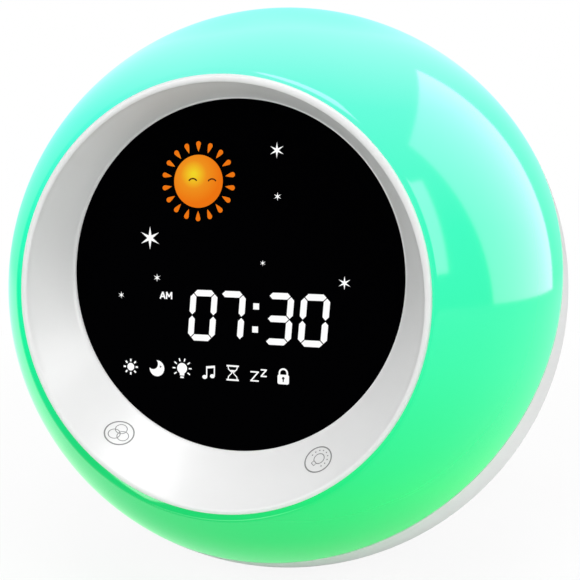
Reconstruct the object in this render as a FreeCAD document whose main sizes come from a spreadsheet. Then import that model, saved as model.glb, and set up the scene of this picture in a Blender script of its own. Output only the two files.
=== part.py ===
# Ball-shaped bedside alarm clock with a night light. Millimetres, +Z up, the display faces -Y.
# The origin is the centre of the rubber foot's underside, so the clock stands on Z = 0.
# Four frames are used. BALL, DIAL, SEAM and REAR all start at the centre of the ball. DIAL looks out
# of the display, SEAM out of the plane where the two shells meet, REAR straight out of the back.
import FreeCAD, Part
import math
import os
import re
import Sketcher
from FreeCAD import Vector

doc = FreeCAD.newDocument("alarm_clock")
dims = doc.addObject("Spreadsheet::Sheet", "dims")
sheet_names = []
sub_parts = []


def sheet_word(name):
    """A size's cell in the sheet, written when an expression first needs it. Other words stay."""
    amount = globals().get(name)
    if not isinstance(amount, (int, float)):
        return name
    if name not in sheet_names:
        sheet_names.append(name)
        dims.set("A%d" % len(sheet_names), name)
        dims.set("B%d" % len(sheet_names), str(amount))
        dims.setAlias("B%d" % len(sheet_names), name)
    return "dims." + name


def sheet_words(text):
    """Point every size in an expression at its cell."""
    return re.sub(r"[a-z]\w*", lambda found: sheet_word(found[0]), text)


def bind(thing, **expressions):
    for name, text in expressions.items():
        thing.setExpression(name, sheet_words(text))


def place(thing, frame, across="0", up="0", out="0", turn="0"):
    """Put a piece at a point of a frame, turned about the frame's outward axis."""
    shift = "placement(vector(%s; %s; %s); rotation(vector(0; 0; 1); %s))" % (across, up, out, turn)
    bind(thing, Placement=frame + " * " + shift)
    return thing


def sub_part(thing, label):
    thing.Label = label
    sub_parts.append(thing)
    return thing


def bar(name, radius, length, *spot):
    """A round bar along its frame's outward axis, standing on the spot."""
    thing = doc.addObject("Part::Cylinder", name)
    bind(thing, Radius=radius, Height=length)
    return place(thing, *spot)


def block(name, length, width, height, frame, across="0", up="0", out="0"):
    """A block standing centred on the spot."""
    thing = doc.addObject("Part::Box", name)
    bind(thing, Length=length, Width=width, Height=height)
    return place(thing, frame, "%s - (%s) / 2" % (across, length), "%s - (%s) / 2" % (up, width), out)


def ball(name, radius):
    thing = doc.addObject("Part::Sphere", name)
    bind(thing, Radius=radius)
    return place(thing, BALL)


def joined(name, *pieces):
    thing = doc.addObject("Part::MultiFuse", name)
    thing.Shapes = list(pieces)
    return thing


def shared(name, *pieces):
    thing = doc.addObject("Part::MultiCommon", name)
    thing.Shapes = list(pieces)
    return thing


def cut(name, base, *tools):
    thing = doc.addObject("Part::Cut", name)
    thing.Base = base
    thing.Tool = tools[0] if len(tools) == 1 else joined(name + "_tools", *tools)
    return thing


def group(name, pieces):
    """Several separate solids that share one node."""
    thing = doc.addObject("Part::Compound", name)
    thing.Links = list(pieces)
    return thing


def tube(name, outer, inner, length, *spot):
    return cut(name, bar(name + "_outer", outer, length, *spot), bar(name + "_bore", inner, length, *spot))


def stadium(name, length, width, height, frame, across="0", up="0", out="0"):
    """A block with round ends, as a plug socket has."""
    side = "((%s) - (%s)) / 2" % (length, width)
    middle = block(name + "_middle", "(%s) - (%s)" % (length, width), width, height, frame, across, up, out)
    ends = [
        bar("%s_end_%d" % (name, end), "(%s) / 2" % width, height, frame, "%s + %d * %s" % (across, end, side), up, out)
        for end in (-1, 1)
    ]
    return joined(name, middle, *ends)


def attached_sketch(body, name, plane):
    sketch = body.newObject("Sketcher::SketchObject", name)
    origin_plane = [feature for feature in body.Origin.OriginFeatures if feature.Role == plane][0]
    sketch.AttachmentSupport = [(origin_plane, "")]
    sketch.MapMode = "FlatFace"
    return sketch


def turned(name, outline, *spot):
    """A body turned about its frame's outward axis from a closed outline of (radius, level) corners."""
    body = doc.addObject("PartDesign::Body", name)
    sketch = attached_sketch(body, name + "_outline", "XZ_Plane")
    count = len(outline)
    starts = [Vector(index + 1, index * index, 0) for index in range(count)]
    for index in range(count):
        sketch.addGeometry(Part.LineSegment(starts[index], starts[(index + 1) % count]), False)
    for index in range(count):
        sketch.addConstraint(Sketcher.Constraint("Coincident", index, 2, (index + 1) % count, 1))
    for index, corner in enumerate(outline):
        for kind, text in zip(("DistanceX", "DistanceY"), corner):
            held = sketch.addConstraint(Sketcher.Constraint(kind, -1, 1, index, 1, 1.0))
            sketch.setExpression("Constraints[%d]" % held, sheet_words(text))
    revolution = body.newObject("PartDesign::Revolution", name + "_turn")
    revolution.Profile = sketch
    revolution.ReferenceAxis = (sketch, ["V_Axis"])
    revolution.Angle = 360
    return place(body, *spot)


def padded(name, circles, thickness, *spot):
    """A body padded from circles of (radius, across, up): the first is the edge, the others are holes."""
    body = doc.addObject("PartDesign::Body", name)
    sketch = attached_sketch(body, name + "_outline", "XY_Plane")
    for index, (radius, across, up) in enumerate(circles):
        sketch.addGeometry(Part.Circle(Vector(index, index, 0), Vector(0, 0, 1), 1 + index), False)
        for kind, text in (("DistanceX", across), ("DistanceY", up)):
            held = sketch.addConstraint(Sketcher.Constraint(kind, -1, 1, index, 3, 1.0))
            sketch.setExpression("Constraints[%d]" % held, sheet_words(text))
        held = sketch.addConstraint(Sketcher.Constraint("Radius", index, 1.0 + index))
        sketch.setExpression("Constraints[%d]" % held, sheet_words(radius))
    pad = body.newObject("PartDesign::Pad", name + "_pad")
    pad.Profile = sketch
    bind(pad, Length=thickness)
    return place(body, *spot)


def screw(name, shank, length, frame, across, up, seat, driven=1):
    """A pan head screw. Its head rests on the level seat and its shank points along driven."""
    start = seat if driven > 0 else "%s - (%s)" % (seat, length)
    under = "%s - %s_head_height" % (seat, shank) if driven > 0 else seat
    parts = (
        bar(name + "_shank", shank + "_radius", length, frame, across, up, start),
        bar(name + "_head", shank + "_head_radius", shank + "_head_height", frame, across, up, under),
    )
    return joined(name, *parts)


# Overall form: a 150 mm ball, cut flat under the foot and at the back, with a tilted display.
ball_radius = 75  # outside radius of the ball
foot_rise = 5  # flat under the shell, above the ball's lowest point
foot_cut = ball_radius - foot_rise  # ball centre down to the flat under the shell
foot_proud = 0.8  # rubber foot standing out of that flat
rear_depth = 15  # flat rear face, inside the ball's rearmost point
rear_cut = ball_radius - rear_depth  # ball centre back to the flat rear face
display_tilt = 2.5  # degrees the display leans back
seam_tilt = 21.6  # degrees the shell seam leans back
seam_gap = 0.3  # open joint line between the shells
lamp_wall = 2.2  # wall of the translucent shell
shell_wall = 2.4  # wall of the white rear shell
seat_gap = 0.3  # clearance of a loose seat
sliding_gap = 0.1  # clearance of a close seat
reach = 200  # length of a cutting block, past the whole ball

CENTRE = "vector(0; 0; foot_cut + foot_proud)"
BALL = "placement(%s; rotation(vector(0; 0; 1); 0))" % CENTRE
DIAL = "placement(%s; rotation(vector(1; 0; 0); 90 - display_tilt))" % CENTRE
SEAM = "placement(%s; rotation(vector(1; 0; 0); 90 - seam_tilt))" % CENTRE
REAR = "placement(%s; rotation(vector(0; 1; 1); 180))" % CENTRE

# Screws: a small one for boards, a long one for the display stack, a stout one for the case.
small_radius = 1.2  # shank of a board screw
small_head_radius = 2.2  # head of a board screw
small_head_height = 1.5  # height of that head
long_radius = 1.25  # shank of a display screw
long_head_radius = 2.5  # head of a display screw
long_head_height = 1.6  # height of that head
case_radius = 1.45  # shank of a case screw
case_head_radius = 2.8  # head of a case screw
case_head_height = 2.0  # height of that head
screw_gap = 0.05  # hole a screw bites into, wider than its shank
pass_gap = 0.25  # hole a screw passes through, wider than its shank

# Display stack, measured forward from the ball's centre along the display's own axis.
window_thick = 2.0  # window
window_radius = 42.3  # window
window_offset = 5.2  # window centre above the ball's axis
opening_radius = 41.4  # black disc that shows in the bezel
seat_lip = 0.6  # edge of the bezel in front of the window
rim_radius = 49.1  # outside of the rim
rim_gap = 0.4  # between the rim and the lamp shell
rim_sink = 0.35  # front of the rim behind the edge of the lamp shell
lamp_opening = rim_radius + rim_gap  # opening in front of the lamp shell
rim_crest = math.sqrt(ball_radius ** 2 - lamp_opening ** 2) - rim_sink  # front of the rim
dish_depth = 12.3  # rim down to the window
window_level = rim_crest - dish_depth  # front face of the window
rim_offset = 1.0  # rim centre above the ball's axis
rim_width = 2.1  # rim, from its outside to the dish
rim_round = 0.8  # rounded edges of the rim
collar_wall = 1.8  # wall round the window
flange_depth = 9.5  # rim down to the rear face of the flange
flange_level = rim_crest - flange_depth  # rear face of that flange
flange_edge = 1.2  # flange short of the lamp shell's inside
flange_radius = math.sqrt((ball_radius - lamp_wall - seat_gap) ** 2 - flange_level ** 2) - flange_edge  # flange
skirt_wall = 2.2  # tubular wall behind the rim
housing_level = window_level - window_thick - 1.7  # front face of the housing's flange
housing_wall = 1.8  # wall of the housing
housing_back = housing_level - 9  # rear face of the housing
housing_floor = 1.6  # floor of the housing
stack_gap = 0.1  # clearance of the display stack in its housing
light_block_thick = 6.0  # light block
board_thick = 1.6  # circuit boards
screw_circle_top = flange_radius - 3.0  # circle of the upper display screws
screw_circle_low = flange_radius - 5.0  # circle of the lower display screws
screw_angle_top = 38  # upper display screws, degrees above level
screw_angle_low = -20  # lower display screws, degrees above level
bezel_boss_radius = 2.6  # bosses for the display screws
bezel_boss_depth = 7.0  # screw hole in those bosses

seam_depth = 17.2  # rear of the display housing back to the seam, on the ball's axis
seam_forward = housing_back - seam_depth  # ball centre forward to the seam

WINDOW_BACK = "(window_level - window_thick)"
BLOCK_BACK = "(window_level - window_thick - light_block_thick)"
BOARD_BACK = "(window_level - window_thick - light_block_thick - board_thick)"
STACK_RADIUS = "(window_radius - stack_gap)"
DISPLAY_SCREWS = [
    ("%d * screw_circle_%s * cos(screw_angle_%s)" % (side, row, row),
     "rim_offset + screw_circle_%s * sin(screw_angle_%s)" % (row, row))
    for row in ("top", "low")
    for side in (-1, 1)
]


def dial_cone(name, front_radius, front_level, back_radius, back_level):
    """Straight-sided solid from the rim's circle to the lower, higher-set circle of the window."""
    rings = []
    for ring, radius, offset, level in (
        ("_front", front_radius, "rim_offset", front_level),
        ("_back", back_radius, "window_offset", back_level),
    ):
        circle = doc.addObject("Part::Circle", name + ring)
        bind(circle, Radius=radius)
        rings.append(place(circle, DIAL, "0", offset, level))
    loft = doc.addObject("Part::Loft", name)
    loft.Sections = rings
    loft.Solid = True
    loft.Ruled = True
    return loft


# Bezel: one white moulding. A rounded rim stands in the lamp shell's opening, an off-centre dish
# runs down to the window, and a flange behind the shell's edge carries the screw bosses.
rim = turned(
    "bezel_rim",
    (
        ("rim_radius - skirt_wall", "flange_level"),
        ("rim_radius", "flange_level"),
        ("rim_radius", "rim_crest - rim_round"),
        ("rim_radius - rim_round / 3", "rim_crest - rim_round / 3"),
        ("rim_radius - rim_round", "rim_crest"),
        ("rim_radius - skirt_wall", "rim_crest"),
    ),
    DIAL, "0", "rim_offset",
)
flange = shared(
    "bezel_flange",
    tube("bezel_flange_ring", "flange_radius", "rim_radius - skirt_wall", "rim_crest - flange_level",
         DIAL, "0", "rim_offset", "flange_level"),
    ball("bezel_flange_ball", "ball_radius - lamp_wall - seat_gap"),
)
collar = bar("bezel_collar", "window_radius + sliding_gap + collar_wall",
             "window_level + seat_lip - housing_level - seat_gap",
             DIAL, "0", "window_offset", "housing_level + seat_gap")
dish_skin = dial_cone("bezel_dish_skin", "rim_radius - skirt_wall / 2", "rim_crest",
                      "window_radius + sliding_gap + collar_wall / 2", "window_level")
bezel_bosses = [
    bar("bezel_boss_%d" % index, "bezel_boss_radius", "flange_level - housing_level + 1",
        DIAL, across, up, "housing_level")
    for index, (across, up) in enumerate(DISPLAY_SCREWS)
]
bezel_holes = [
    bar("bezel_hole_%d" % index, "long_radius + screw_gap", "bezel_boss_depth",
        DIAL, across, up, "housing_level")
    for index, (across, up) in enumerate(DISPLAY_SCREWS)
]
dish_air = dial_cone("bezel_dish_air", "rim_radius - rim_width + rim_round", "rim_crest + rim_round",
                     "opening_radius", "window_level + seat_lip")
opening = bar("bezel_opening", "opening_radius", "seat_lip + seat_gap", DIAL, "0", "window_offset",
              "window_level - seat_gap")
window_bore = bar("bezel_window_bore", "window_radius + sliding_gap", "window_level - housing_back",
                  DIAL, "0", "window_offset", "housing_back")
sub_part(
    cut("bezel", joined("bezel_body", rim, flange, collar, dish_skin, *bezel_bosses),
        dish_air, opening, window_bore, *bezel_holes),
    "front_bezel",
)

# Window: a smoked acrylic disc that seats against the bezel's lip from behind.
sub_part(
    padded("window", [("window_radius", "0", "0")], "window_thick", DIAL, "0", "window_offset", WINDOW_BACK),
    "display_window",
)

# Shapes that shine through the window, placed from the window's centre.
digit_rise = 10.62  # digit, between the middles of its top and bottom segments
digit_width = 5.4  # digit, between the middles of its upright segments
digit_slant = 4  # degrees the digits lean to the right
digit_level = -9.4  # middle of the digits above the window's centre
segment_width = 1.5  # segments
segment_gap = 0.22  # black line between two segments
colon_across = 6.2  # colon
colon_rise = 5.4  # between the colon's dots
colon_dot = 1.45  # side of a colon dot
sun_across = -8.5  # sun
sun_up = 22.2  # sun
sun_radius = 6.2  # sun's disc
ray_inner = 6.9  # sun's centre to the point of a ray
ray_outer = 9.35  # sun's centre to the round end of a ray
ray_width = 1.15  # ray at its round end
icon_level = -22.8  # row of small icons above the window's centre
icon_radius = 2.3  # round port behind an icon
mark_depth = 2.0  # diffusers in the front of the light block
RAY_COUNT = 18
DIGIT_SPOTS = (-7.15, -0.05, 11.75, 20.3)
STARS = ((10.9, 29.2, 1.65), (11.2, 18.7, 0.9), (-21.0, 8.7, 2.45), (7.8, 3.4, 0.65),
         (-19.1, -0.8, 0.9), (27.3, -0.6, 1.4), (-28.7, -5.3, 0.8))
ICON_SPOTS = (-26.1, -19.0, -12.4, -5.6, 0.6, 7.0, 13.2)


def closed(points):
    return Part.makePolygon([Vector(*point, 0) for point in points + points[:1]])


def digit_segments(middle):
    """Seven six-sided bars round a digit's centre."""
    wide, rise = digit_width / 2, digit_rise / 2
    slant = math.tan(math.radians(digit_slant))
    half, gap = segment_width / 2, segment_gap / math.sqrt(2)
    bars = []
    for start, end in (
        ((-wide, rise), (wide, rise)), ((-wide, 0), (wide, 0)), ((-wide, -rise), (wide, -rise)),
        ((-wide, 0), (-wide, rise)), ((wide, 0), (wide, rise)),
        ((-wide, -rise), (-wide, 0)), ((wide, -rise), (wide, 0)),
    ):
        long_x, long_y = (1, 0) if start[1] == end[1] else (0, 1)
        points = []
        for tip, way in ((start, 1), (end, -1)):
            point = (tip[0] + long_x * gap * way, tip[1] + long_y * gap * way)
            shoulder = (point[0] + long_x * half * way, point[1] + long_y * half * way)
            points += [
                (shoulder[0] + long_y * half * way, shoulder[1] - long_x * half * way),
                point,
                (shoulder[0] - long_y * half * way, shoulder[1] + long_x * half * way),
            ]
        level = digit_level
        bars.append(closed([(middle + x + slant * y, level + y) for x, y in points]))
    return bars


def square(across, up, side):
    half = side / 2
    return closed([(across + x * half, up + y * half) for x, y in ((-1, -1), (1, -1), (1, 1), (-1, 1))])


def star(across, up, radius, points=6, waist=0.36):
    """A six-pointed star with one point straight up."""
    corners = []
    for step in range(2 * points):
        angle = math.pi * step / points
        length = radius if step % 2 == 0 else radius * waist
        corners.append((across + length * math.sin(angle), up + length * math.cos(angle)))
    return closed(corners)


def ring_of(across, up, radius):
    return Part.Wire(Part.Circle(Vector(across, up, 0), Vector(0, 0, 1), radius).toShape())


def sun_ray(index):
    """A drop with its point towards the sun and a round outer end."""
    angle = 2 * math.pi * index / RAY_COUNT
    half = ray_width / 2
    middle = ray_outer - half
    point = Vector(0, ray_inner, 0)
    right, left = Vector(half, middle, 0), Vector(-half, middle, 0)
    drop = Part.Wire([
        Part.LineSegment(point, right).toShape(),
        Part.Arc(right, Vector(0, ray_outer, 0), left).toShape(),
        Part.LineSegment(left, point).toShape(),
    ])
    drop.rotate(Vector(0, 0, 0), Vector(0, 0, 1), -math.degrees(angle))
    drop.translate(Vector(sun_across, sun_up, 0))
    return drop


def marks(name, outlines, level, depth):
    """Upright solids on closed outlines, from a level of the dial frame forward by a depth."""
    thing = doc.addObject("Part::Feature", name)
    thing.Shape = Part.makeCompound([Part.Face(wire).extrude(Vector(0, 0, depth)) for wire in outlines])
    return place(thing, DIAL, "0", "window_offset", level)


colon_outlines = [
    square(colon_across, digit_level + way * colon_rise / 2, colon_dot)
    for way in (-1, 1)
]
digit_outlines = [bar_outline for middle in DIGIT_SPOTS for bar_outline in digit_segments(middle)]
sun_outlines = [ring_of(sun_across, sun_up, sun_radius)]
mark_groups = (
    ("digit_diffusers", digit_outlines + colon_outlines),
    ("sun_diffusers", sun_outlines + [sun_ray(index) for index in range(RAY_COUNT)]),
    ("star_diffusers", [star(*spot) for spot in STARS]),
    ("icon_diffusers", [ring_of(spot, icon_level, icon_radius) for spot in ICON_SPOTS]),
)

# Light block: a white disc with a chamber behind every shape, closed at the front by milky diffusers.
chambers = [
    marks(label + "_chambers", outlines, BLOCK_BACK, light_block_thick)
    for label, outlines in mark_groups
]
block_disc = bar("light_block_disc", STACK_RADIUS, "light_block_thick", DIAL, "0", "window_offset", BLOCK_BACK)
for index, chamber in enumerate(chambers):
    block_disc = cut("light_block_%d" % index, block_disc, chamber)
sub_part(block_disc, "light_block")
for label, outlines in mark_groups:
    sub_part(marks(label + "_shape", outlines, WINDOW_BACK + " - mark_depth", mark_depth), label)

# Display board: a round circuit board with a chip light under every chamber.
chip_side = 0.5  # side of a chip light
chip_height = 0.6  # height of a chip light
sub_part(
    padded("display_board_disc", [(STACK_RADIUS, "0", "0")], "board_thick",
           DIAL, "0", "window_offset", BOARD_BACK),
    "display_board",
)
chip_spots = [wire.CenterOfMass for label, outlines in mark_groups for wire in outlines
              if wire.BoundBox.DiagonalLength > 4 * chip_side]
sub_part(
    marks("display_chips", [square(spot.x, spot.y, chip_side) for spot in chip_spots],
          BLOCK_BACK, chip_height),
    "display_lights",
)

# Housing: a white cup that holds the block and board against the window, with a broad flange that
# keeps the night light out of the display.
housing = joined(
    "housing_body",
    bar("housing_flange", "flange_radius - seat_gap", "housing_wall",
        DIAL, "0", "rim_offset", "housing_level - housing_wall"),
    bar("housing_cup", "window_radius + sliding_gap + housing_wall", "housing_level - housing_back",
        DIAL, "0", "window_offset", "housing_back"),
)
ledge_width = 2.4  # ledge that carries the display board
cable_slot_length = 16  # slot for the display's flat cable
cable_slot_width = 5  # slot for the display's flat cable
housing_air = [
    bar("housing_bore", "window_radius + sliding_gap", "housing_level - %s" % BOARD_BACK,
        DIAL, "0", "window_offset", BOARD_BACK),
    bar("housing_well", "window_radius - ledge_width", "%s - housing_back - housing_floor" % BOARD_BACK,
        DIAL, "0", "window_offset", "housing_back + housing_floor"),
    block("housing_slot", "cable_slot_length", "cable_slot_width", "2 * housing_floor",
          DIAL, "0", "0", "housing_back - housing_floor / 2"),
]
housing_air += [
    bar("housing_hole_%d" % index, "long_radius + pass_gap", "2 * housing_wall",
        DIAL, across, up, "housing_level - 1.5 * housing_wall")
    for index, (across, up) in enumerate(DISPLAY_SCREWS)
]
sub_part(cut("housing", housing, *housing_air), "display_housing")

# Touch foils: two copper patches on the back of the dish, under the two printed key marks.
foil_thick = 0.3  # copper foil with its glue
foil_radius = 3.0  # foil
foil_level = 48.8  # middle of the foils
foil_angle_left = 233.3  # left key, degrees round the window from its right side
foil_angle_right = 301.4  # right key
foil_reach = 46.0  # from the window's axis to the back of the dish at the keys
dish_slope = 40  # degrees the dish leans out there
foil_skin = cut(
    "foil_skin",
    dial_cone("foil_outside", "rim_radius - skirt_wall / 2 + foil_thick", "rim_crest",
              "window_radius + sliding_gap + collar_wall / 2 + foil_thick", "window_level"),
    dial_cone("foil_inside", "rim_radius - skirt_wall / 2", "rim_crest",
              "window_radius + sliding_gap + collar_wall / 2", "window_level"),
)
foils = []
for side in ("left", "right"):
    punch = doc.addObject("Part::Cylinder", "foil_punch_" + side)
    bind(punch, Radius="foil_radius", Height="4 * foil_radius")
    angle = "foil_angle_" + side
    bind(punch, Placement=DIAL + (
        " * placement(vector(foil_reach * cos(%s); window_offset + foil_reach * sin(%s); foil_level);"
        " rotation(vector(0; 0; 1); %s))"
        " * placement(vector(0; 0; 0); rotation(vector(0; 1; 0); 90 + dish_slope))"
        " * placement(vector(0; 0; -2 * foil_radius); rotation(vector(0; 0; 1); 0))" % (angle, angle, angle)))
    foils.append(shared("foil_" + side, foil_skin, punch))
sub_part(group("foils", foils), "touch_foils")

# Lamp shell: the translucent front of the ball, open for the bezel. A rib and a tongue inside its
# rear edge take the chassis and centre the rear shell.
tongue_radius = math.sqrt((ball_radius - shell_wall) ** 2 - seam_forward ** 2) - sliding_gap  # outside of the tongue
tongue_wall = 1.2  # tongue
rib_width = 5.2  # tongue in to the edge of the rib
rib_thick = 3.0  # rib inside the lamp shell's rear edge
rib_radius = tongue_radius - rib_width  # inside of that rib
tongue_length = 4.0  # tongue behind the seam
rib_boss_radius = 2.8  # bosses on the rib
rib_boss_height = 7.0  # bosses on the rib
rib_screw_circle = rib_radius + 0.6  # circle of the screws in the rib
chassis_radius = tongue_radius - tongue_wall - 0.6  # chassis disc
chassis_thick = 2.0  # chassis disc
RIB_SCREWS = [("rib_screw_circle * cos(%d)" % angle, "rib_screw_circle * sin(%d)" % angle)
              for angle in (40, 140, 220, 320)]
zone = cut(
    "lamp_zone",
    shared("lamp_front", ball("lamp_ball", "ball_radius"),
           block("lamp_half", "reach", "reach", "reach", SEAM, "0", "0", "seam_forward")),
    ball("lamp_inside", "ball_radius - lamp_wall"),
    bar("lamp_opening_bar", "lamp_opening", "reach", DIAL, "0", "rim_offset", "housing_level"),
)
rib = shared(
    "lamp_rib",
    tube("lamp_rib_ring", "ball_radius", "rib_radius", "rib_thick", SEAM, "0", "0", "seam_forward"),
    ball("lamp_rib_ball", "ball_radius - lamp_wall / 2"),
)
tongue = tube("lamp_tongue", "tongue_radius", "tongue_radius - tongue_wall", "tongue_length + rib_thick / 2",
              SEAM, "0", "0", "seam_forward - tongue_length")
rib_bosses = [
    bar("lamp_boss_%d" % index, "rib_boss_radius", "rib_boss_height", SEAM, across, up, "seam_forward")
    for index, (across, up) in enumerate(RIB_SCREWS)
]
rib_holes = [
    bar("lamp_hole_%d" % index, "small_radius + screw_gap", "rib_boss_height - 1",
        SEAM, across, up, "seam_forward")
    for index, (across, up) in enumerate(RIB_SCREWS)
]
sub_part(cut("lamp", joined("lamp_body", zone, rib, tongue, *rib_bosses), *rib_holes), "lamp_shell")

# Chassis: a white disc at the seam. Four towers reach forward to the display housing and four posts
# reach back to the rear shell.
tower_radius = 4.4  # towers of the chassis
tower_end = 3.0  # end wall under a screw head
head_gap = 0.7  # hole round a screw head
post_radius = 4.0  # posts to the rear shell
case_screw_across = 36  # case screws from the middle
case_screw_up = 20  # case screws from the middle
case_joint = rear_cut - 22  # ball centre back to where posts and tunnels meet
case_hole_depth = 12  # screw hole in a post
cable_hole = 11  # hole for the display's cable in the chassis
CHASSIS_BACK = "(seam_forward - chassis_thick)"
TOWER_FRONT = "(housing_level - housing_wall)"
CASE_SCREWS = [("%d * case_screw_across" % side, "%d * case_screw_up" % level)
               for side in (-1, 1) for level in (-1, 1)]
towers = shared(
    "chassis_towers",
    group("chassis_tower_bars", [
        bar("chassis_tower_%d" % index, "tower_radius", "%s + flange_radius / 2" % TOWER_FRONT,
            DIAL, across, up, "-flange_radius / 2")
        for index, (across, up) in enumerate(DISPLAY_SCREWS)
    ]),
    block("chassis_front_half", "reach", "reach", "reach", SEAM, "0", "0", "seam_forward - chassis_thick / 2"),
)
posts = shared(
    "chassis_posts",
    group("chassis_post_bars", [
        bar("chassis_post_%d" % index, "post_radius", "case_joint + flange_radius", REAR, across, up,
            "-flange_radius")
        for index, (across, up) in enumerate(CASE_SCREWS)
    ]),
    block("chassis_rear_half", "reach", "reach", "reach", SEAM, "0", "0",
          "seam_forward - chassis_thick / 2 - reach"),
)
chassis_air = [
    bar("chassis_head_hole_%d" % index, "long_head_radius + head_gap",
        "%s - tower_end + flange_radius" % TOWER_FRONT, DIAL, across, up, "-flange_radius")
    for index, (across, up) in enumerate(DISPLAY_SCREWS)
]
chassis_air += [
    bar("chassis_screw_hole_%d" % index, "long_radius + pass_gap", "2 * tower_end",
        DIAL, across, up, "%s - 1.5 * tower_end" % TOWER_FRONT)
    for index, (across, up) in enumerate(DISPLAY_SCREWS)
]
chassis_air += [
    bar("chassis_post_hole_%d" % index, "case_radius + screw_gap", "case_hole_depth + 1",
        REAR, across, up, "case_joint - case_hole_depth")
    for index, (across, up) in enumerate(CASE_SCREWS)
]
chassis_air += [
    bar("chassis_rib_hole_%d" % index, "small_radius + pass_gap", "2 * chassis_thick",
        SEAM, across, up, "seam_forward - 1.5 * chassis_thick")
    for index, (across, up) in enumerate(RIB_SCREWS)
]
chassis_air.append(bar("chassis_cable_hole", "cable_hole", "2 * chassis_thick",
                       SEAM, "0", "0", "seam_forward - 1.5 * chassis_thick"))
chassis_disc = bar("chassis_disc", "chassis_radius", "chassis_thick", SEAM, "0", "0", CHASSIS_BACK)
sub_part(cut("chassis_cut", joined("chassis_body", chassis_disc, towers, posts), *chassis_air), "chassis")

# Night light: a ring board on the chassis with twelve colour lights under the lamp shell.
lamp_board_outer = rib_screw_circle - rib_boss_radius - 1.3  # outside of the ring board
lamp_board_inner = lamp_board_outer - 6  # inside of the ring board
lamp_light_side = 4.6  # side of a colour light
lamp_light_height = 1.6  # height of a colour light
LAMP_LIGHT_COUNT = 12
sub_part(
    padded("lamp_board_ring", [("lamp_board_outer", "0", "0"), ("lamp_board_inner", "0", "0")],
           "board_thick", SEAM, "0", "0", "seam_forward"),
    "lamp_board",
)
lamp_lights = []
for index in range(LAMP_LIGHT_COUNT):
    light = doc.addObject("Part::Box", "lamp_light_%d" % index)
    bind(light, Length="lamp_light_side", Width="lamp_light_side", Height="lamp_light_height",
         Placement=SEAM + (
             " * placement(vector(0; 0; seam_forward + board_thick); rotation(vector(0; 0; 1); %g))"
             " * placement(vector((lamp_board_inner + lamp_board_outer - lamp_light_side) / 2;"
             " -lamp_light_side / 2; 0); rotation(vector(0; 0; 1); 0))" % (360 * index / LAMP_LIGHT_COUNT)))
    lamp_lights.append(light)
sub_part(group("lamp_light_ring", lamp_lights), "lamp_lights")

# Screws of the front half: through tower and housing into the bezel, and through the chassis into the rib.
long_length = 10  # length of a display screw under its head
rib_screw_length = 7  # length of a rib screw under its head
sub_part(
    group("display_screw_set", [
        screw("display_screw_%d" % index, "long", "long_length", DIAL, across, up,
              "%s - tower_end" % TOWER_FRONT)
        for index, (across, up) in enumerate(DISPLAY_SCREWS)
    ]),
    "display_screws",
)
sub_part(
    group("rib_screw_set", [
        screw("rib_screw_%d" % index, "small", "rib_screw_length", SEAM, across, up, CHASSIS_BACK)
        for index, (across, up) in enumerate(RIB_SCREWS)
    ]),
    "lamp_shell_screws",
)

# Rear shell: the white back of the ball, flat under the foot and at the rear, one moulding with the
# speaker's holes, the openings for the controls, and the posts and tunnels inside.
tunnel_radius = 4.4  # screw tunnels of the rear shell
foot_radius = 24  # rubber foot
foot_thick = 2.0  # rubber foot
speaker_up = 20  # speaker above the ball's axis
speaker_radius = 20  # speaker frame
grille_pitch = 4.2  # between rings of speaker holes
grille_hole = 1.1  # radius of a speaker hole
cap_radius = 4.5  # push button
cap_gap = 0.25  # clearance round a push button
cap_pitch_across = 17  # between push buttons
cap_pitch_up = 13  # between the two rows of push buttons
cap_row = -8  # upper row of push buttons
socket_up = -34  # power socket and slide switch
socket_length = 8.94  # power socket, its standard width
socket_width = 3.26  # power socket, its standard height
socket_wall = 0.3  # sheet of the power socket
switch_across = -16  # slide switch
knob_length = 4.4  # knob of the slide switch
knob_width = 2.8  # knob of the slide switch
knob_travel = 2.0  # travel of the slide switch
knob_gap = 0.2  # clearance of the knob
main_board_level = rear_cut - 12.6  # front face of the main board
main_board_length = 62  # main board
main_board_width = 40  # main board
main_board_up = -22  # middle of the main board
board_post_radius = 2.6  # posts for the main board
board_post_across = main_board_length / 2 - 3.5  # posts from the middle of the board
board_post_up = main_board_width / 2 - 3.5  # posts from the middle of the board
board_screw_length = 7  # length of a board screw under its head
cell_radius = 9.2  # battery cell
cell_length = 65  # battery cell
cell_back = 4  # battery cell behind the ball's centre
holder_level = 10 - foot_cut  # underside of the battery holder
holder_height = 11  # battery holder
holder_width = 22  # battery holder
holder_floor = 2.4  # holder under the cell
holder_end = 2.3  # end wall of the holder
contact_thick = 0.5  # battery contact
cell_gap = 0.3  # clearance round the cell
holder_screw_across = cell_length / 2 - 10.5  # screws of the battery holder from the middle
holder_post_radius = 3.0  # posts under the battery holder
holder_screw_length = 6  # length of a holder screw under its head

INNER_REAR = "(rear_cut - shell_wall)"
BOARD_REAR = "(main_board_level + board_thick)"
KEY_SPOTS = [("%d * cap_pitch_across" % column, "cap_row - %d * cap_pitch_up" % row)
             for row in (0, 1) for column in (-1, 0, 1)]
KEY_NAMES = ("wake", "clock", "sound", "timer", "down", "up")
BOARD_POSTS = [("%d * board_post_across" % side, "main_board_up + %d * board_post_up" % level)
               for side in (-1, 1) for level in (-1, 1)]
HOLDER_SCREWS = [("%d * holder_screw_across" % side, "cell_back") for side in (-1, 1)]


def flat_ball(name, radius, foot, rear):
    """A ball cut flat below and behind."""
    return shared(name, ball(name + "_ball", radius),
                  block(name + "_box", "reach", "reach", "reach", BALL,
                        "0", "%s - reach / 2" % rear, "-(%s)" % foot))


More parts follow.
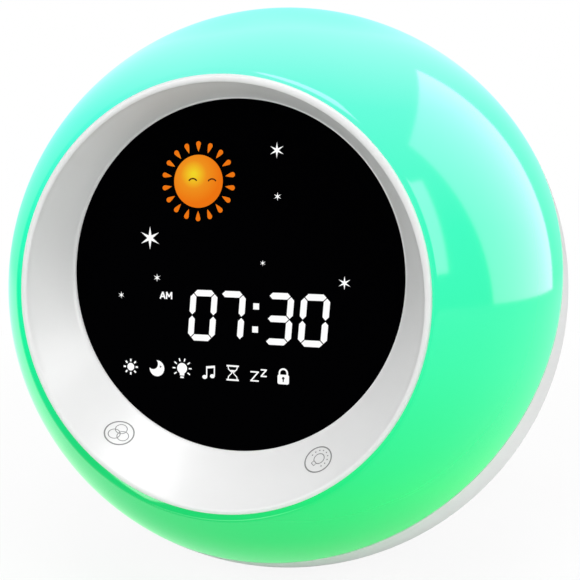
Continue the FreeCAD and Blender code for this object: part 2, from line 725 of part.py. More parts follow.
outside = flat_ball("shell_outside", "ball_radius", "foot_cut", "rear_cut")
inside = flat_ball("shell_inside", "ball_radius - shell_wall", "foot_cut - shell_wall", INNER_REAR)
behind_seam = block("shell_half", "reach", "reach", "reach", SEAM, "0", "0",
                    "seam_forward - seam_gap - reach")
tunnels = [
    bar("tunnel_%d" % index, "tunnel_radius", "rear_cut - case_joint - shell_wall / 2",
        REAR, across, up, "case_joint")
    for index, (across, up) in enumerate(CASE_SCREWS)
]
board_posts = [
    bar("board_post_%d" % index, "board_post_radius", "rear_cut - %s - shell_wall / 2" % BOARD_REAR,
        REAR, across, up, BOARD_REAR)
    for index, (across, up) in enumerate(BOARD_POSTS)
]
holder_posts = [
    bar("holder_post_%d" % index, "holder_post_radius", "foot_cut + holder_level - shell_wall / 2",
        BALL, across, up, "-foot_cut + shell_wall / 2")
    for index, (across, up) in enumerate(HOLDER_SCREWS)
]
speaker_post_radius = 2.6  # posts beside the speaker
speaker_post_gap = 0.3  # between the speaker frame and its posts
flange_thick = 1.0  # flange of the speaker frame, and its gasket
SPEAKER_POST = "(speaker_radius + speaker_post_gap + speaker_post_radius)"
SPEAKER_POSTS = [("%s * cos(%d)" % (SPEAKER_POST, angle), "speaker_up + %s * sin(%d)" % (SPEAKER_POST, angle))
                 for angle in (90, 200, 340)]
speaker_posts = [
    bar("speaker_post_%d" % index, "speaker_post_radius", "2 * flange_thick + shell_wall / 2",
        REAR, across, up, "%s - 2 * flange_thick" % INNER_REAR)
    for index, (across, up) in enumerate(SPEAKER_POSTS)
]
shell_posts = shared("shell_posts", group("shell_post_set", tunnels + board_posts + holder_posts + speaker_posts),
                     flat_ball("shell_middle", "ball_radius - shell_wall / 2", "foot_cut - shell_wall / 2",
                               "rear_cut - shell_wall / 2"))

shell_air = [
    bar("tunnel_mouth_%d" % index, "case_head_radius + head_gap / 2", "rear_cut - case_joint",
        REAR, across, up, "case_joint + tower_end")
    for index, (across, up) in enumerate(CASE_SCREWS)
]
shell_air += [
    bar("tunnel_hole_%d" % index, "case_radius + pass_gap", "2 * tower_end",
        REAR, across, up, "case_joint - tower_end / 2")
    for index, (across, up) in enumerate(CASE_SCREWS)
]
shell_air += [
    bar("board_post_hole_%d" % index, "small_radius + screw_gap", "board_screw_length",
        REAR, across, up, "%s - 1" % BOARD_REAR)
    for index, (across, up) in enumerate(BOARD_POSTS)
]
shell_air += [
    bar("holder_post_hole_%d" % index, "small_radius + screw_gap", "holder_screw_length",
        BALL, across, up, "holder_level - holder_screw_length + 1")
    for index, (across, up) in enumerate(HOLDER_SCREWS)
]
speaker_screw_length = 2.5  # length of a speaker screw under its head
shell_air += [
    bar("speaker_post_hole_%d" % index, "small_radius + screw_gap", "speaker_screw_length + screw_gap",
        REAR, across, up, "%s - 2 * flange_thick" % INNER_REAR)
    for index, (across, up) in enumerate(SPEAKER_POSTS)
]
shell_air += [
    bar("cap_hole_%d" % index, "cap_radius + cap_gap", "2 * shell_wall", REAR, across, up,
        "rear_cut - 1.5 * shell_wall")
    for index, (across, up) in enumerate(KEY_SPOTS)
]
for ring in range(4):
    for step in range(max(1, 6 * ring)):
        turn = 360 * step / max(1, 6 * ring)
        shell_air.append(bar("grille_%d_%d" % (ring, step), "grille_hole", "2 * shell_wall", REAR,
                             "%d * grille_pitch * cos(%g)" % (ring, turn),
                             "speaker_up + %d * grille_pitch * sin(%g)" % (ring, turn),
                             "rear_cut - 1.5 * shell_wall"))
shell_air.append(stadium("socket_hole", "socket_length + 2 * cap_gap", "socket_width + 2 * cap_gap",
                         "2 * shell_wall", REAR, "0", "socket_up", "rear_cut - 1.5 * shell_wall"))
shell_air.append(block("switch_hole", "knob_length + knob_travel + 2 * knob_gap", "knob_width + 2 * knob_gap",
                       "2 * shell_wall", REAR, "switch_across", "socket_up", "rear_cut - 1.5 * shell_wall"))
foot_recess = bar("foot_recess", "foot_radius + sliding_gap", "foot_thick - foot_proud", BALL, "0", "0", "-foot_cut")
sub_part(
    cut("rear_shell_cut",
        joined("rear_shell_body", shared("shell_wall_part", cut("shell_hollow", outside, inside), behind_seam),
               shell_posts),
        foot_recess, *shell_air),
    "back_shell",
)
sub_part(
    padded("foot_disc", [("foot_radius", "0", "0")], "foot_thick", BALL, "0", "0", "-foot_cut - foot_proud"),
    "rubber_foot",
)
case_screw_length = 12  # length of a case screw under its head
sub_part(
    group("case_screw_set", [
        screw("case_screw_%d" % index, "case", "case_screw_length", REAR, across, up,
              "case_joint + tower_end", -1)
        for index, (across, up) in enumerate(CASE_SCREWS)
    ]),
    "case_screws",
)

# Main board: carries the key switches, the slide switch and the power socket, which all reach the
# rear wall, and the processor and sound parts on its other side.
key_body_side = 6.0  # key switch
key_body_height = 3.5  # key switch
plunger_radius = 1.7  # plunger of a key switch
plunger_gap = 0.15  # clearance of the plunger
plunger_top = 5.0  # plunger above the board
key_travel = 0.8  # travel of a push button
plunger_floor = 0.6  # bottom of a key switch
main_board = block("main_board_plate", "main_board_length", "main_board_width", "board_thick",
                   REAR, "0", "main_board_up", "main_board_level")
main_board_holes = [
    bar("main_board_hole_%d" % index, "small_radius + pass_gap", "2 * board_thick",
        REAR, across, up, "main_board_level - board_thick / 2")
    for index, (across, up) in enumerate(BOARD_POSTS)
]
sub_part(cut("main_board_cut", main_board, *main_board_holes), "main_board")
sub_part(
    group("board_screw_set", [
        screw("board_screw_%d" % index, "small", "board_screw_length - 1", REAR, across, up, "main_board_level")
        for index, (across, up) in enumerate(BOARD_POSTS)
    ]),
    "board_screws",
)
sub_part(
    group("key_switch_set", [
        cut("key_switch_%d" % index,
            block("key_body_%d" % index, "key_body_side", "key_body_side", "key_body_height",
                  REAR, across, up, BOARD_REAR),
            bar("key_well_%d" % index, "plunger_radius + plunger_gap", "key_body_height",
                REAR, across, up, BOARD_REAR + " + plunger_floor"))
        for index, (across, up) in enumerate(KEY_SPOTS)
    ]),
    "key_switches",
)

# Push buttons: a round cap with a retaining flange and a stem, standing on its switch's plunger.
cap_proud = 1.2  # push button standing out of the rear face
cap_flange = 1.1  # retaining flange, wider than the cap
cap_flange_thick = 1.0  # retaining flange
cap_chamfer = 0.6  # rounded edge of a cap
stem_radius = 1.6  # stem of a push button
PLUNGER_TOP = "(%s + plunger_top)" % BOARD_REAR
for name, (across, up) in zip(KEY_NAMES, KEY_SPOTS):
    sub_part(
        turned(
            name + "_cap",
            (
                ("0", PLUNGER_TOP),
                ("stem_radius", PLUNGER_TOP),
                ("stem_radius", "%s - sliding_gap - cap_flange_thick" % INNER_REAR),
                ("cap_radius + cap_flange", "%s - sliding_gap - cap_flange_thick" % INNER_REAR),
                ("cap_radius + cap_flange", "%s - sliding_gap" % INNER_REAR),
                ("cap_radius", "%s - sliding_gap" % INNER_REAR),
                ("cap_radius", "rear_cut + cap_proud - cap_chamfer"),
                ("cap_radius - cap_chamfer", "rear_cut + cap_proud"),
                ("0", "rear_cut + cap_proud"),
            ),
            REAR, across, up,
        ),
        name + "_button",
    )
    sub_part(
        bar(name + "_pin", "plunger_radius", "plunger_top - plunger_floor - key_travel - plunger_gap",
            REAR, across, up, BOARD_REAR + " + plunger_floor + key_travel + plunger_gap"),
        name + "_plunger",
    )

# Slide switch: a black body on the board and a lever whose knob slides in a slot of the rear face.
switch_length = 8.6  # slide switch
switch_width = 4.4  # slide switch
switch_height = 4.7  # slide switch
lever_length = 2.0  # lever in the switch
lever_width = 1.6  # lever in the switch
knob_proud = 0.8  # knob standing out of the rear face
LEVER_REST = "(switch_across - knob_travel / 2)"
lever_well = block("switch_well", "lever_length + knob_travel + 2 * knob_gap", "lever_width + 2 * plunger_gap",
                   "switch_height", REAR, "switch_across", "socket_up", BOARD_REAR + " + plunger_floor")
sub_part(
    cut("switch_cut", block("switch_block", "switch_length", "switch_width", "switch_height",
                            REAR, "switch_across", "socket_up", BOARD_REAR), lever_well),
    "slide_switch_body",
)
sub_part(
    joined(
        "switch_lever",
        block("lever_stem", "lever_length", "lever_width",
              "%s - %s - plunger_floor - plunger_gap" % (INNER_REAR, BOARD_REAR),
              REAR, LEVER_REST, "socket_up", BOARD_REAR + " + plunger_floor + plunger_gap"),
        block("lever_knob", "knob_length", "knob_width", "shell_wall + knob_proud",
              REAR, LEVER_REST, "socket_up", INNER_REAR),
    ),
    "slide_switch_knob",
)

# Power socket: a pressed steel shell with a plastic tongue, its mouth just inside the rear face.
socket_recess = 0.6  # mouth of the socket behind the rear face
socket_floor = 2.0  # moulded base inside the socket
tongue_plate_length = 6.7  # tongue of the socket
tongue_plate_width = 0.7  # tongue of the socket
tongue_recess = 1.0  # tongue behind the socket's mouth
SOCKET_HEIGHT = "(rear_cut - socket_recess - %s)" % BOARD_REAR
sub_part(
    cut("socket_cut",
        stadium("socket_outer", "socket_length", "socket_width", SOCKET_HEIGHT,
                REAR, "0", "socket_up", BOARD_REAR),
        stadium("socket_inner", "socket_length - 2 * socket_wall", "socket_width - 2 * socket_wall",
                SOCKET_HEIGHT, REAR, "0", "socket_up", BOARD_REAR + " + socket_floor")),
    "power_socket",
)
sub_part(
    block("socket_tongue_plate", "tongue_plate_length", "tongue_plate_width",
          SOCKET_HEIGHT + " - socket_floor - tongue_recess", REAR, "0", "socket_up",
          BOARD_REAR + " + socket_floor"),
    "socket_tongue",
)

# Parts on the inner side of the main board: processor, sound amplifier, memory and a capacitor.
processor_side = 9  # processor
amplifier_side = 5  # amplifier and memory
package_height = 1.2  # chip packages
capacitor_radius = 3.2  # capacitor
capacitor_height = 7  # capacitor
packages = [
    block("processor", "processor_side", "processor_side", "package_height", REAR, "0", "main_board_up",
          "main_board_level - package_height"),
    block("amplifier", "amplifier_side", "amplifier_side", "package_height", REAR, "2 * processor_side",
          "main_board_up", "main_board_level - package_height"),
    block("memory", "amplifier_side", "amplifier_side", "package_height", REAR, "-2 * processor_side",
          "main_board_up", "main_board_level - package_height"),
    bar("capacitor", "capacitor_radius", "capacitor_height", REAR, "2 * processor_side",
        "main_board_up - processor_side", "main_board_level - capacitor_height"),
]
sub_part(group("package_set", packages), "board_chips")

# Speaker: a pressed steel basket with its magnet and paper cone, held on a foam gasket by three
# screws whose heads lap over its flange.
magnet_radius = 10.5  # speaker magnet
magnet_height = 5  # speaker magnet
basket_depth = 8  # speaker basket behind its flange
basket_wall = 0.8  # speaker basket
cone_radius = 17.2  # speaker cone at its edge
cone_step = 0.6  # step that carries the cone's edge
cone_depth = 5  # depth of the cone
cone_thick = 0.4  # cone
dust_cap_radius = 4.5  # flat middle of the cone
gasket_width = 3  # foam gasket
FLANGE_REAR = "(%s - flange_thick)" % INNER_REAR
FLANGE_FRONT = "(%s - 2 * flange_thick)" % INNER_REAR
BASKET_FRONT = "(%s - basket_depth)" % FLANGE_FRONT
sub_part(
    tube("gasket", "speaker_radius", "speaker_radius - gasket_width + seat_gap", "flange_thick",
         REAR, "0", "speaker_up", FLANGE_REAR),
    "speaker_gasket",
)
sub_part(
    turned(
        "basket",
        (
            ("0", BASKET_FRONT),
            ("magnet_radius", BASKET_FRONT),
            ("cone_radius + basket_wall", FLANGE_FRONT),
            ("speaker_radius", FLANGE_FRONT),
            ("speaker_radius", FLANGE_REAR),
            ("cone_radius + seat_gap / 2", FLANGE_REAR),
            ("cone_radius + seat_gap / 2", FLANGE_REAR + " - cone_step"),
            ("cone_radius - 2 * cone_step", FLANGE_REAR + " - cone_step"),
            ("magnet_radius - basket_wall", BASKET_FRONT + " + basket_wall"),
            ("0", BASKET_FRONT + " + basket_wall"),
        ),
        REAR, "0", "speaker_up",
    ),
    "speaker_basket",
)
sub_part(
    turned(
        "cone",
        (
            ("0", FLANGE_REAR + " - cone_depth"),
            ("dust_cap_radius", FLANGE_REAR + " - cone_depth"),
            ("cone_radius - 2.5 * cone_step", FLANGE_REAR + " - cone_step"),
            ("cone_radius", FLANGE_REAR + " - cone_step"),
            ("cone_radius", FLANGE_REAR + " - cone_step + cone_thick"),
            ("cone_radius - 3 * cone_step", FLANGE_REAR + " - cone_step + cone_thick"),
            ("dust_cap_radius", FLANGE_REAR + " - cone_depth + cone_thick"),
            ("0", FLANGE_REAR + " - cone_depth + cone_thick"),
        ),
        REAR, "0", "speaker_up",
    ),
    "speaker_cone",
)
sub_part(
    bar("magnet", "magnet_radius", "magnet_height", REAR, "0", "speaker_up", BASKET_FRONT + " - magnet_height"),
    "speaker_magnet",
)
sub_part(
    group("speaker_screw_set", [
        screw("speaker_screw_%d" % index, "small", "speaker_screw_length", REAR, across, up, FLANGE_FRONT)
        for index, (across, up) in enumerate(SPEAKER_POSTS)
    ]),
    "speaker_screws",
)

# Battery: one round cell lying across the bottom of the ball in a trough, with a contact at each end.
CELL_LEVEL = "(holder_level + holder_floor + cell_gap + cell_radius)"
TROUGH_LENGTH = "(cell_length + 2 * contact_thick + 2 * sliding_gap)"


def lying_bar(name, radius, length, back, level, start="0"):
    """A round bar along +X, its middle at start."""
    thing = doc.addObject("Part::Cylinder", name)
    bind(thing, Radius=radius, Height=length,
         Placement=BALL + " * placement(vector(%s - (%s) / 2; %s; %s); rotation(vector(0; 1; 0); 90))"
         % (start, length, back, level))
    return thing


holder_air = [lying_bar("holder_trough", "cell_radius + cell_gap", TROUGH_LENGTH, "cell_back", CELL_LEVEL)]
holder_air += [
    bar("holder_hole_%d" % index, "small_radius + pass_gap", "2 * holder_floor",
        BALL, across, up, "holder_level - holder_floor / 2")
    for index, (across, up) in enumerate(HOLDER_SCREWS)
]
holder_air += [
    bar("holder_head_hole_%d" % index, "small_head_radius + cell_gap", "holder_floor",
        BALL, across, up, "holder_level + holder_floor - small_head_height")
    for index, (across, up) in enumerate(HOLDER_SCREWS)
]
sub_part(
    cut("holder_cut",
        block("holder_block", TROUGH_LENGTH + " + 2 * holder_end", "holder_width", "holder_height",
              BALL, "0", "cell_back", "holder_level"),
        *holder_air),
    "battery_holder",
)
sub_part(lying_bar("cell", "cell_radius", "cell_length", "cell_back", CELL_LEVEL), "battery_cell")
sub_part(
    group("contact_set", [
        lying_bar("contact_%d" % side, "cell_radius / 2", "contact_thick", "cell_back", CELL_LEVEL,
                  "%d * (cell_length + contact_thick) / 2" % side)
        for side in (-1, 1)
    ]),
    "battery_contacts",
)
sub_part(
    group("holder_screw_set", [
        screw("holder_screw_%d" % index, "small", "holder_screw_length - 1", BALL, across, up,
              "holder_level + holder_floor - small_head_height", -1)
        for index, (across, up) in enumerate(HOLDER_SCREWS)
    ]),
    "holder_screws",
)

doc.recompute()
for thing in doc.Objects:
    if "Invalid" in thing.State or "Error" in thing.State:
        raise RuntimeError("%s did not build" % thing.Name)
for thing in sub_parts:
    if thing.Shape.isNull() or not thing.Shape.isValid():
        raise RuntimeError("%s has no sound shape" % thing.Label)
os.makedirs("parts", exist_ok=True)
for thing in sub_parts:
    thing.Shape.exportStep("parts/%s.step" % thing.Label)
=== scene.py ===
import bmesh
import bpy
import math
from mathutils import Matrix, Vector


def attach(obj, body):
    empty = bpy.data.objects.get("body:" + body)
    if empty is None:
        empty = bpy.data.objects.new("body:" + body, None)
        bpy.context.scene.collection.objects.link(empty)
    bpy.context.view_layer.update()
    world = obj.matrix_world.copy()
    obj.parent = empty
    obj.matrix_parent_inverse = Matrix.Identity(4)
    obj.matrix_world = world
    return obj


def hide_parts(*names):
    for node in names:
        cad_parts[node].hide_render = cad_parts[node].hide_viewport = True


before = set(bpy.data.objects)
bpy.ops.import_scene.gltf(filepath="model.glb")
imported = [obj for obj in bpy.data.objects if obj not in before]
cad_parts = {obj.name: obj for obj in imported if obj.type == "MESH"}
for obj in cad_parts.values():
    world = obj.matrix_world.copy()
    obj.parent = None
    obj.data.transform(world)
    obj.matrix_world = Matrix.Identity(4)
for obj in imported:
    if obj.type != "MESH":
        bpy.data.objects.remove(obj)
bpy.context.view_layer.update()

# Camera: a standing view, a little to the right of the display and just above the ball's middle,
# close enough that the near side of the ball looks larger than the far side.
MM = 0.001
ball_centre = Vector((0, 0, 70.8)) * MM
camera = bpy.data.objects.new("camera", bpy.data.cameras.new("camera"))
bpy.context.scene.collection.objects.link(camera)
bpy.context.scene.camera = camera
camera.location = ball_centre + Vector((76.5, -236.1, 27.5)) * MM
camera.rotation_euler = (ball_centre - camera.location).to_track_quat("-Z", "Y").to_euler()
camera.data.lens = 55.2
camera.data.sensor_width = 36
camera.data.shift_x = 1.55 / 580
camera.data.shift_y = -2.5 / 580
camera.data.clip_start = 0.01
bpy.context.scene.view_settings.view_transform = "Standard"


def linear(code):
    """The linear colour of an sRGB hex value."""
    channels = [int(code[index:index + 2], 16) / 255 for index in (1, 3, 5)]
    return [c / 12.92 if c <= 0.04045 else ((c + 0.055) / 1.055) ** 2.4 for c in channels] + [1]


def add(tree, kind, inputs=None, **settings):
    """Add a node with its settings. Each input takes a value, or a link from another node's socket."""
    made = tree.nodes.new(kind)
    for name, setting in settings.items():
        setattr(made, name, setting)
    for socket, given in (inputs or {}).items():
        if isinstance(given, bpy.types.NodeSocket):
            tree.links.new(given, made.inputs[socket])
        else:
            made.inputs[socket].default_value = given
    return made


def new_tree(name):
    material = bpy.data.materials.new(name)
    material.use_nodes = True
    material.node_tree.nodes.clear()
    return material, material.node_tree


def seen_share(tree):
    """How much of the white background a ray finds: all for camera and see-through rays, less in gloss."""
    paths = add(tree, "ShaderNodeLightPath")
    in_gloss = add(tree, "ShaderNodeMath", {0: paths.outputs["Is Glossy Ray"], 1: 0.3}, operation="MULTIPLY")
    seen = add(tree, "ShaderNodeMath", {0: paths.outputs["Is Camera Ray"], 1: in_gloss.outputs[0]},
               operation="MAXIMUM")
    seen = add(tree, "ShaderNodeMath", {0: seen.outputs[0], 1: paths.outputs["Is Transmission Ray"]},
               operation="MAXIMUM")
    return seen.outputs[0]


# Studio: a plain pale floor under soft white light. It is nearly white to the camera, and whiter
# further out, and keeps the clock's soft shadow. One panel at the right shows only in the gloss.
floor_mesh = bpy.data.meshes.new("studio_floor")
floor_mesh.from_pydata([(-4, -4, 0), (4, -4, 0), (4, 4, 0), (-4, 4, 0)], [], [(0, 1, 2, 3)])
floor = bpy.data.objects.new("studio_floor", floor_mesh)
bpy.context.scene.collection.objects.link(floor)
pale_paper, tree = new_tree("pale_paper_sweep")
place = add(tree, "ShaderNodeTexCoord").outputs["Object"]
reach = add(tree, "ShaderNodeVectorMath", {0: place}, operation="LENGTH")
near = add(tree, "ShaderNodeMapRange", {"Value": reach.outputs["Value"], "From Min": 0.06, "From Max": 0.4,
                                        "To Min": 0.9, "To Max": 1.0})
share = add(tree, "ShaderNodeMath", {0: seen_share(tree), 1: near.outputs[0]}, operation="MULTIPLY")
paper = add(tree, "ShaderNodeBsdfDiffuse", {"Color": linear("#F4F4F4")})
glow = add(tree, "ShaderNodeEmission", {"Color": (1, 1, 1, 1), "Strength": 1.0})
mixed = add(tree, "ShaderNodeMixShader", {0: share.outputs[0], 1: paper.outputs[0], 2: glow.outputs[0]})
add(tree, "ShaderNodeOutputMaterial", {0: mixed.outputs[0]})
floor_mesh.materials.append(pale_paper)

world = bpy.data.worlds.new("studio")
bpy.context.scene.world = world
world.use_nodes = True
world.node_tree.nodes.clear()
tree = world.node_tree
backdrop = add(tree, "ShaderNodeBackground", {"Color": (1, 1, 1, 1), "Strength": 1.0})
fill = add(tree, "ShaderNodeBackground", {"Color": (1, 1, 1, 1), "Strength": 0.24})
mixed = add(tree, "ShaderNodeMixShader", {0: seen_share(tree), 1: fill.outputs[0], 2: backdrop.outputs[0]})
add(tree, "ShaderNodeOutputWorld", {0: mixed.outputs[0]})

for name, place, width, height, power in (
    ("softbox_left", (-0.55, -0.95, 0.6), 0.6, 0.6, 4.2),
    ("softbox_top", (0.1, -0.35, 1.0), 0.5, 0.35, 4.0),
    ("softbox_right", (0.95, -0.35, 0.5), 0.35, 0.6, 3.4),
    ("softbox_rear", (-0.3, 0.95, 0.7), 0.7, 0.5, 3.5),
    ("gloss_panel", (0.74, 0.42, 0.46), 0.8, 1.05, 8.5),
):
    lamp = bpy.data.lights.new(name, "AREA")
    lamp.shape = "RECTANGLE"
    lamp.size = width
    lamp.size_y = height
    lamp.energy = power
    softbox = bpy.data.objects.new(name, lamp)
    softbox.location = place
    softbox.rotation_euler = (ball_centre - Vector(place)).to_track_quat("-Z", "Y").to_euler()
    softbox.visible_glossy = name != "softbox_rear"
    softbox.visible_diffuse = name != "gloss_panel"
    softbox.visible_camera = False
    bpy.context.scene.collection.objects.link(softbox)

# Bezel: one injection moulding in white ABS. Its rounded rim stands in the lamp shell's opening,
# and its off-centre dish runs down to the window. The satin skin comes from the mould's polish.
DIAL = Matrix.Translation(ball_centre / MM) @ Matrix.Rotation(math.radians(90 - 2.5), 4, "X")
RIM = {"offset": 1.0, "radius": 49.1, "inner": 46.9, "back": 46.5}
DISH_TOP = {"offset": 1.1, "radius": 47.25, "level": 55.45}
DISH_END = {"offset": 5.2, "radius": 41.4, "level": 44.3}


def circle(turn, offset, radius, level, count=240):
    """Points of a circle round a frame's outward axis, its middle at offset above that axis."""
    return [
        turn @ Vector((radius * math.cos(2 * math.pi * step / count),
                       offset + radius * math.sin(2 * math.pi * step / count), level))
        for step in range(count)
    ]


def finish_mesh(name, shape, body, sharp=35):
    """Turn millimetre geometry into a smooth-shaded piece that rides on a body."""
    bmesh.ops.recalc_face_normals(shape, faces=shape.faces)
    for face in shape.faces:
        face.smooth = True
    for edge in shape.edges:
        edge.smooth = edge.calc_face_angle(0) < math.radians(sharp)
    bmesh.ops.scale(shape, vec=(MM, MM, MM), verts=shape.verts)
    mesh = bpy.data.meshes.new(name)
    shape.to_mesh(mesh)
    shape.free()
    piece = bpy.data.objects.new(name, mesh)
    bpy.context.scene.collection.objects.link(piece)
    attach(piece, body)
    return piece


def skin(shape, loops, closed=False, capped=False):
    """Join loops of equal count with quads, and close them into a ring or cap their ends."""
    rings = [[shape.verts.new(point) for point in loop] for loop in loops]
    pairs = list(zip(rings, rings[1:])) + ([(rings[-1], rings[0])] if closed else [])
    for lower, upper in pairs:
        for step in range(len(lower)):
            after = (step + 1) % len(lower)
            shape.faces.new((lower[step], lower[after], upper[after], upper[step]))
    if capped:
        shape.faces.new(rings[0])
        shape.faces.new(rings[-1])
    return rings


def moulded(name, colour, roughness, grain, depth, coat=0.0, variation=0.03):
    """Moulded plastic: an even colour, and a fine grain from the surface of the mould."""
    material, tree = new_tree(name)
    place = add(tree, "ShaderNodeTexCoord").outputs["Object"]
    speckle = add(tree, "ShaderNodeTexNoise", {"Vector": place, "Scale": 1 / (grain * MM), "Detail": 3.0})
    cloud = add(tree, "ShaderNodeTexNoise", {"Vector": place, "Scale": 40.0, "Detail": 2.0})
    base = linear(colour)
    deeper = [channel * (1 - variation) for channel in base[:3]] + [1]
    blend = add(tree, "ShaderNodeMix", {"Factor": cloud.outputs["Fac"], 6: base, 7: deeper}, data_type="RGBA")
    worn = add(tree, "ShaderNodeMapRange", {"Value": speckle.outputs["Fac"], "To Min": roughness - 0.03,
                                            "To Max": roughness + 0.05})
    grainy = add(tree, "ShaderNodeBump", {"Height": speckle.outputs["Fac"], "Strength": 0.25,
                                          "Distance": depth * MM})
    shader = add(tree, "ShaderNodeBsdfPrincipled", {
        "Base Color": blend.outputs[2], "Roughness": worn.outputs[0], "Normal": grainy.outputs[0],
        "IOR": 1.5, "Coat Weight": coat, "Coat Roughness": 0.08})
    add(tree, "ShaderNodeOutputMaterial", {0: shader.outputs[0]})
    return material


shape = bmesh.new()
profile = [(RIM["offset"], RIM["inner"], RIM["back"]), (RIM["offset"], RIM["radius"], RIM["back"]),
           (RIM["offset"], RIM["radius"], 54.9)]
for step in range(1, 7):
    turn = math.radians(15 * step)
    profile.append((RIM["offset"], 48.2 + 0.9 * math.cos(turn), 55.1 + 0.9 * math.sin(turn)))
for step in range(1, 6):
    turn = math.radians(90 + 12 * step)
    profile.append((RIM["offset"], 47.95 + 0.75 * math.cos(turn), 55.25 + 0.75 * math.sin(turn)))
for step in range(0, 13):
    share = step / 12
    profile.append(tuple(DISH_TOP[key] + share * (DISH_END[key] - DISH_TOP[key])
                         for key in ("offset", "radius", "level")))
profile += [(DISH_END["offset"], radius, level) for radius, level in
            ((41.22, 44.18), (41.15, 44.0), (41.15, 43.72), (43.0, 43.72), (43.6, 44.6))]
skin(shape, [circle(DIAL, *ring) for ring in profile], closed=True)
bezel = finish_mesh("bezel", shape, "clock")
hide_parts("front_bezel")
white_abs = moulded("white_abs", "#F1F1F1", 0.34, 0.35, 0.01, coat=0.15)
bezel.data.materials.append(white_abs)

# Touch key marks: two pad-printed signs in grey ink on the dish, over the copper foils. The ink is
# a few hundredths of a millimetre thick. One sign is three colour circles, the other a lamp.
KEY_INK = {"thick": 0.04, "line": 0.34}


def dish_surface(across, up):
    """The dish's level under a point of the dial plane, found by halving the range it can be in."""
    low, high = -0.3, 1.3
    for _ in range(40):
        share = (low + high) / 2
        offset = DISH_TOP["offset"] + share * (DISH_END["offset"] - DISH_TOP["offset"])
        radius = DISH_TOP["radius"] + share * (DISH_END["radius"] - DISH_TOP["radius"])
        if math.hypot(across, up - offset) > radius:
            high = share
        else:
            low = share
    return DISH_TOP["level"] + share * (DISH_END["level"] - DISH_TOP["level"])


def on_dish(middle, across, up, lift):
    """Lay a point of a flat sign, drawn round its middle, on the curved wall of the dish."""
    u, v = middle
    step = 0.05
    level = dish_surface(u, v)
    slope = Vector(((dish_surface(u + step, v) - level) / step, (dish_surface(u, v + step) - level) / step))
    normal = Vector((-slope.x, -slope.y, 1)).normalized()
    side = Vector((1, 0, slope.x)).normalized()
    rise = normal.cross(side)
    spot = Vector((u, v, level)) + side * across + rise * up
    spot.z = dish_surface(spot.x, spot.y)
    return DIAL @ (spot + normal * lift)


def ribbon(shape, points, width, lay, closed=False):
    """A printed line of even width through flat points, each laid in place by a function."""
    count = len(points)
    sides = []
    for index, (across, up) in enumerate(points):
        before = points[(index - 1) % count] if closed or index else points[0]
        after = points[(index + 1) % count] if closed or index < count - 1 else points[-1]
        run = Vector((after[0] - before[0], after[1] - before[1])).normalized()
        edge = Vector((-run.y, run.x)) * width / 2
        sides.append([shape.verts.new(lay(across + edge.x, up + edge.y)),
                      shape.verts.new(lay(across - edge.x, up - edge.y))])
    pairs = list(zip(sides, sides[1:])) + ([(sides[-1], sides[0])] if closed else [])
    for here, there in pairs:
        shape.faces.new((here[0], here[1], there[1], there[0]))


def arc(across, up, radius, start=0, end=360, count=48):
    steps = count if end - start == 360 else count + 1
    turns = [math.radians(start + (end - start) * step / count) for step in range(steps)]
    return [(across + radius * math.cos(turn), up + radius * math.sin(turn)) for turn in turns]


grey_ink = moulded("grey_pad_print", "#8C8C8C", 0.5, 0.2, 0.004)
for name, middle, radius in (("colour_key_print", (-25.9, -32.7), 3.5),
                             ("lamp_key_print", (23.6, -34.4), 3.7)):
    shape = bmesh.new()

    def lay(across, up):
        return on_dish(middle, across, up * 0.86, KEY_INK["thick"])

    ribbon(shape, arc(0, 0, radius), KEY_INK["line"], lay, closed=True)
    if name == "colour_key_print":
        for turn in (65, 185, 305):
            spot = (1.25 * math.cos(math.radians(turn)), 1.25 * math.sin(math.radians(turn)))
            ribbon(shape, arc(*spot, 1.4), 0.2, lay, closed=True)
    else:
        tilt = Matrix.Rotation(math.radians(-24), 2)
        bulb = arc(0, 0.3, 1.45, -65, 245, 30) + [(-0.6, -1.9), (0.6, -1.9), (0.6, -1.0), (-0.6, -1.0)]
        ribbon(shape, [tilt @ Vector(point) for point in bulb], 0.22, lay, closed=True)
        for turn in range(-20, 201, 27):
            ray = (2.45 * math.cos(math.radians(turn)), 0.3 + 2.45 * math.sin(math.radians(turn)))
            ribbon(shape, arc(*(tilt @ Vector(ray)), 0.09, count=12), 0.2, lay, closed=True)
    sign = finish_mesh(name, shape, "clock")
    sign.data.materials.append(grey_ink)

# Window: a disc of smoked acrylic with an anti-glare coat, so it looks plain black from outside.
# Its edge sits behind the bezel's lip.
window_black, tree = new_tree("smoked_acrylic")
place = add(tree, "ShaderNodeTexCoord").outputs["Object"]
haze = add(tree, "ShaderNodeTexNoise", {"Vector": place, "Scale": 60.0, "Detail": 2.0})
polish = add(tree, "ShaderNodeMapRange", {"Value": haze.outputs["Fac"], "To Min": 0.05, "To Max": 0.09})
shader = add(tree, "ShaderNodeBsdfPrincipled", {
    "Base Color": linear("#020203"), "Roughness": polish.outputs[0], "IOR": 1.49, "Specular IOR Level": 0.0})
add(tree, "ShaderNodeOutputMaterial", {0: shader.outputs[0]})
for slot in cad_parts["display_window"].material_slots:
    slot.material = window_black

# Lit signs: white light from the chips behind shows through the window as sharp shapes. They lie
# just in front of it, where the eye sees them, all drawn round the window's middle.
WINDOW_FRONT = 43.7


def on_window(across, up, lift=0.03):
    return DIAL @ Vector((across, up + 5.2, WINDOW_FRONT + lift))


def patch(shape, points, lift=0.03):
    shape.faces.new([shape.verts.new(on_window(across, up, lift)) for across, up in points])


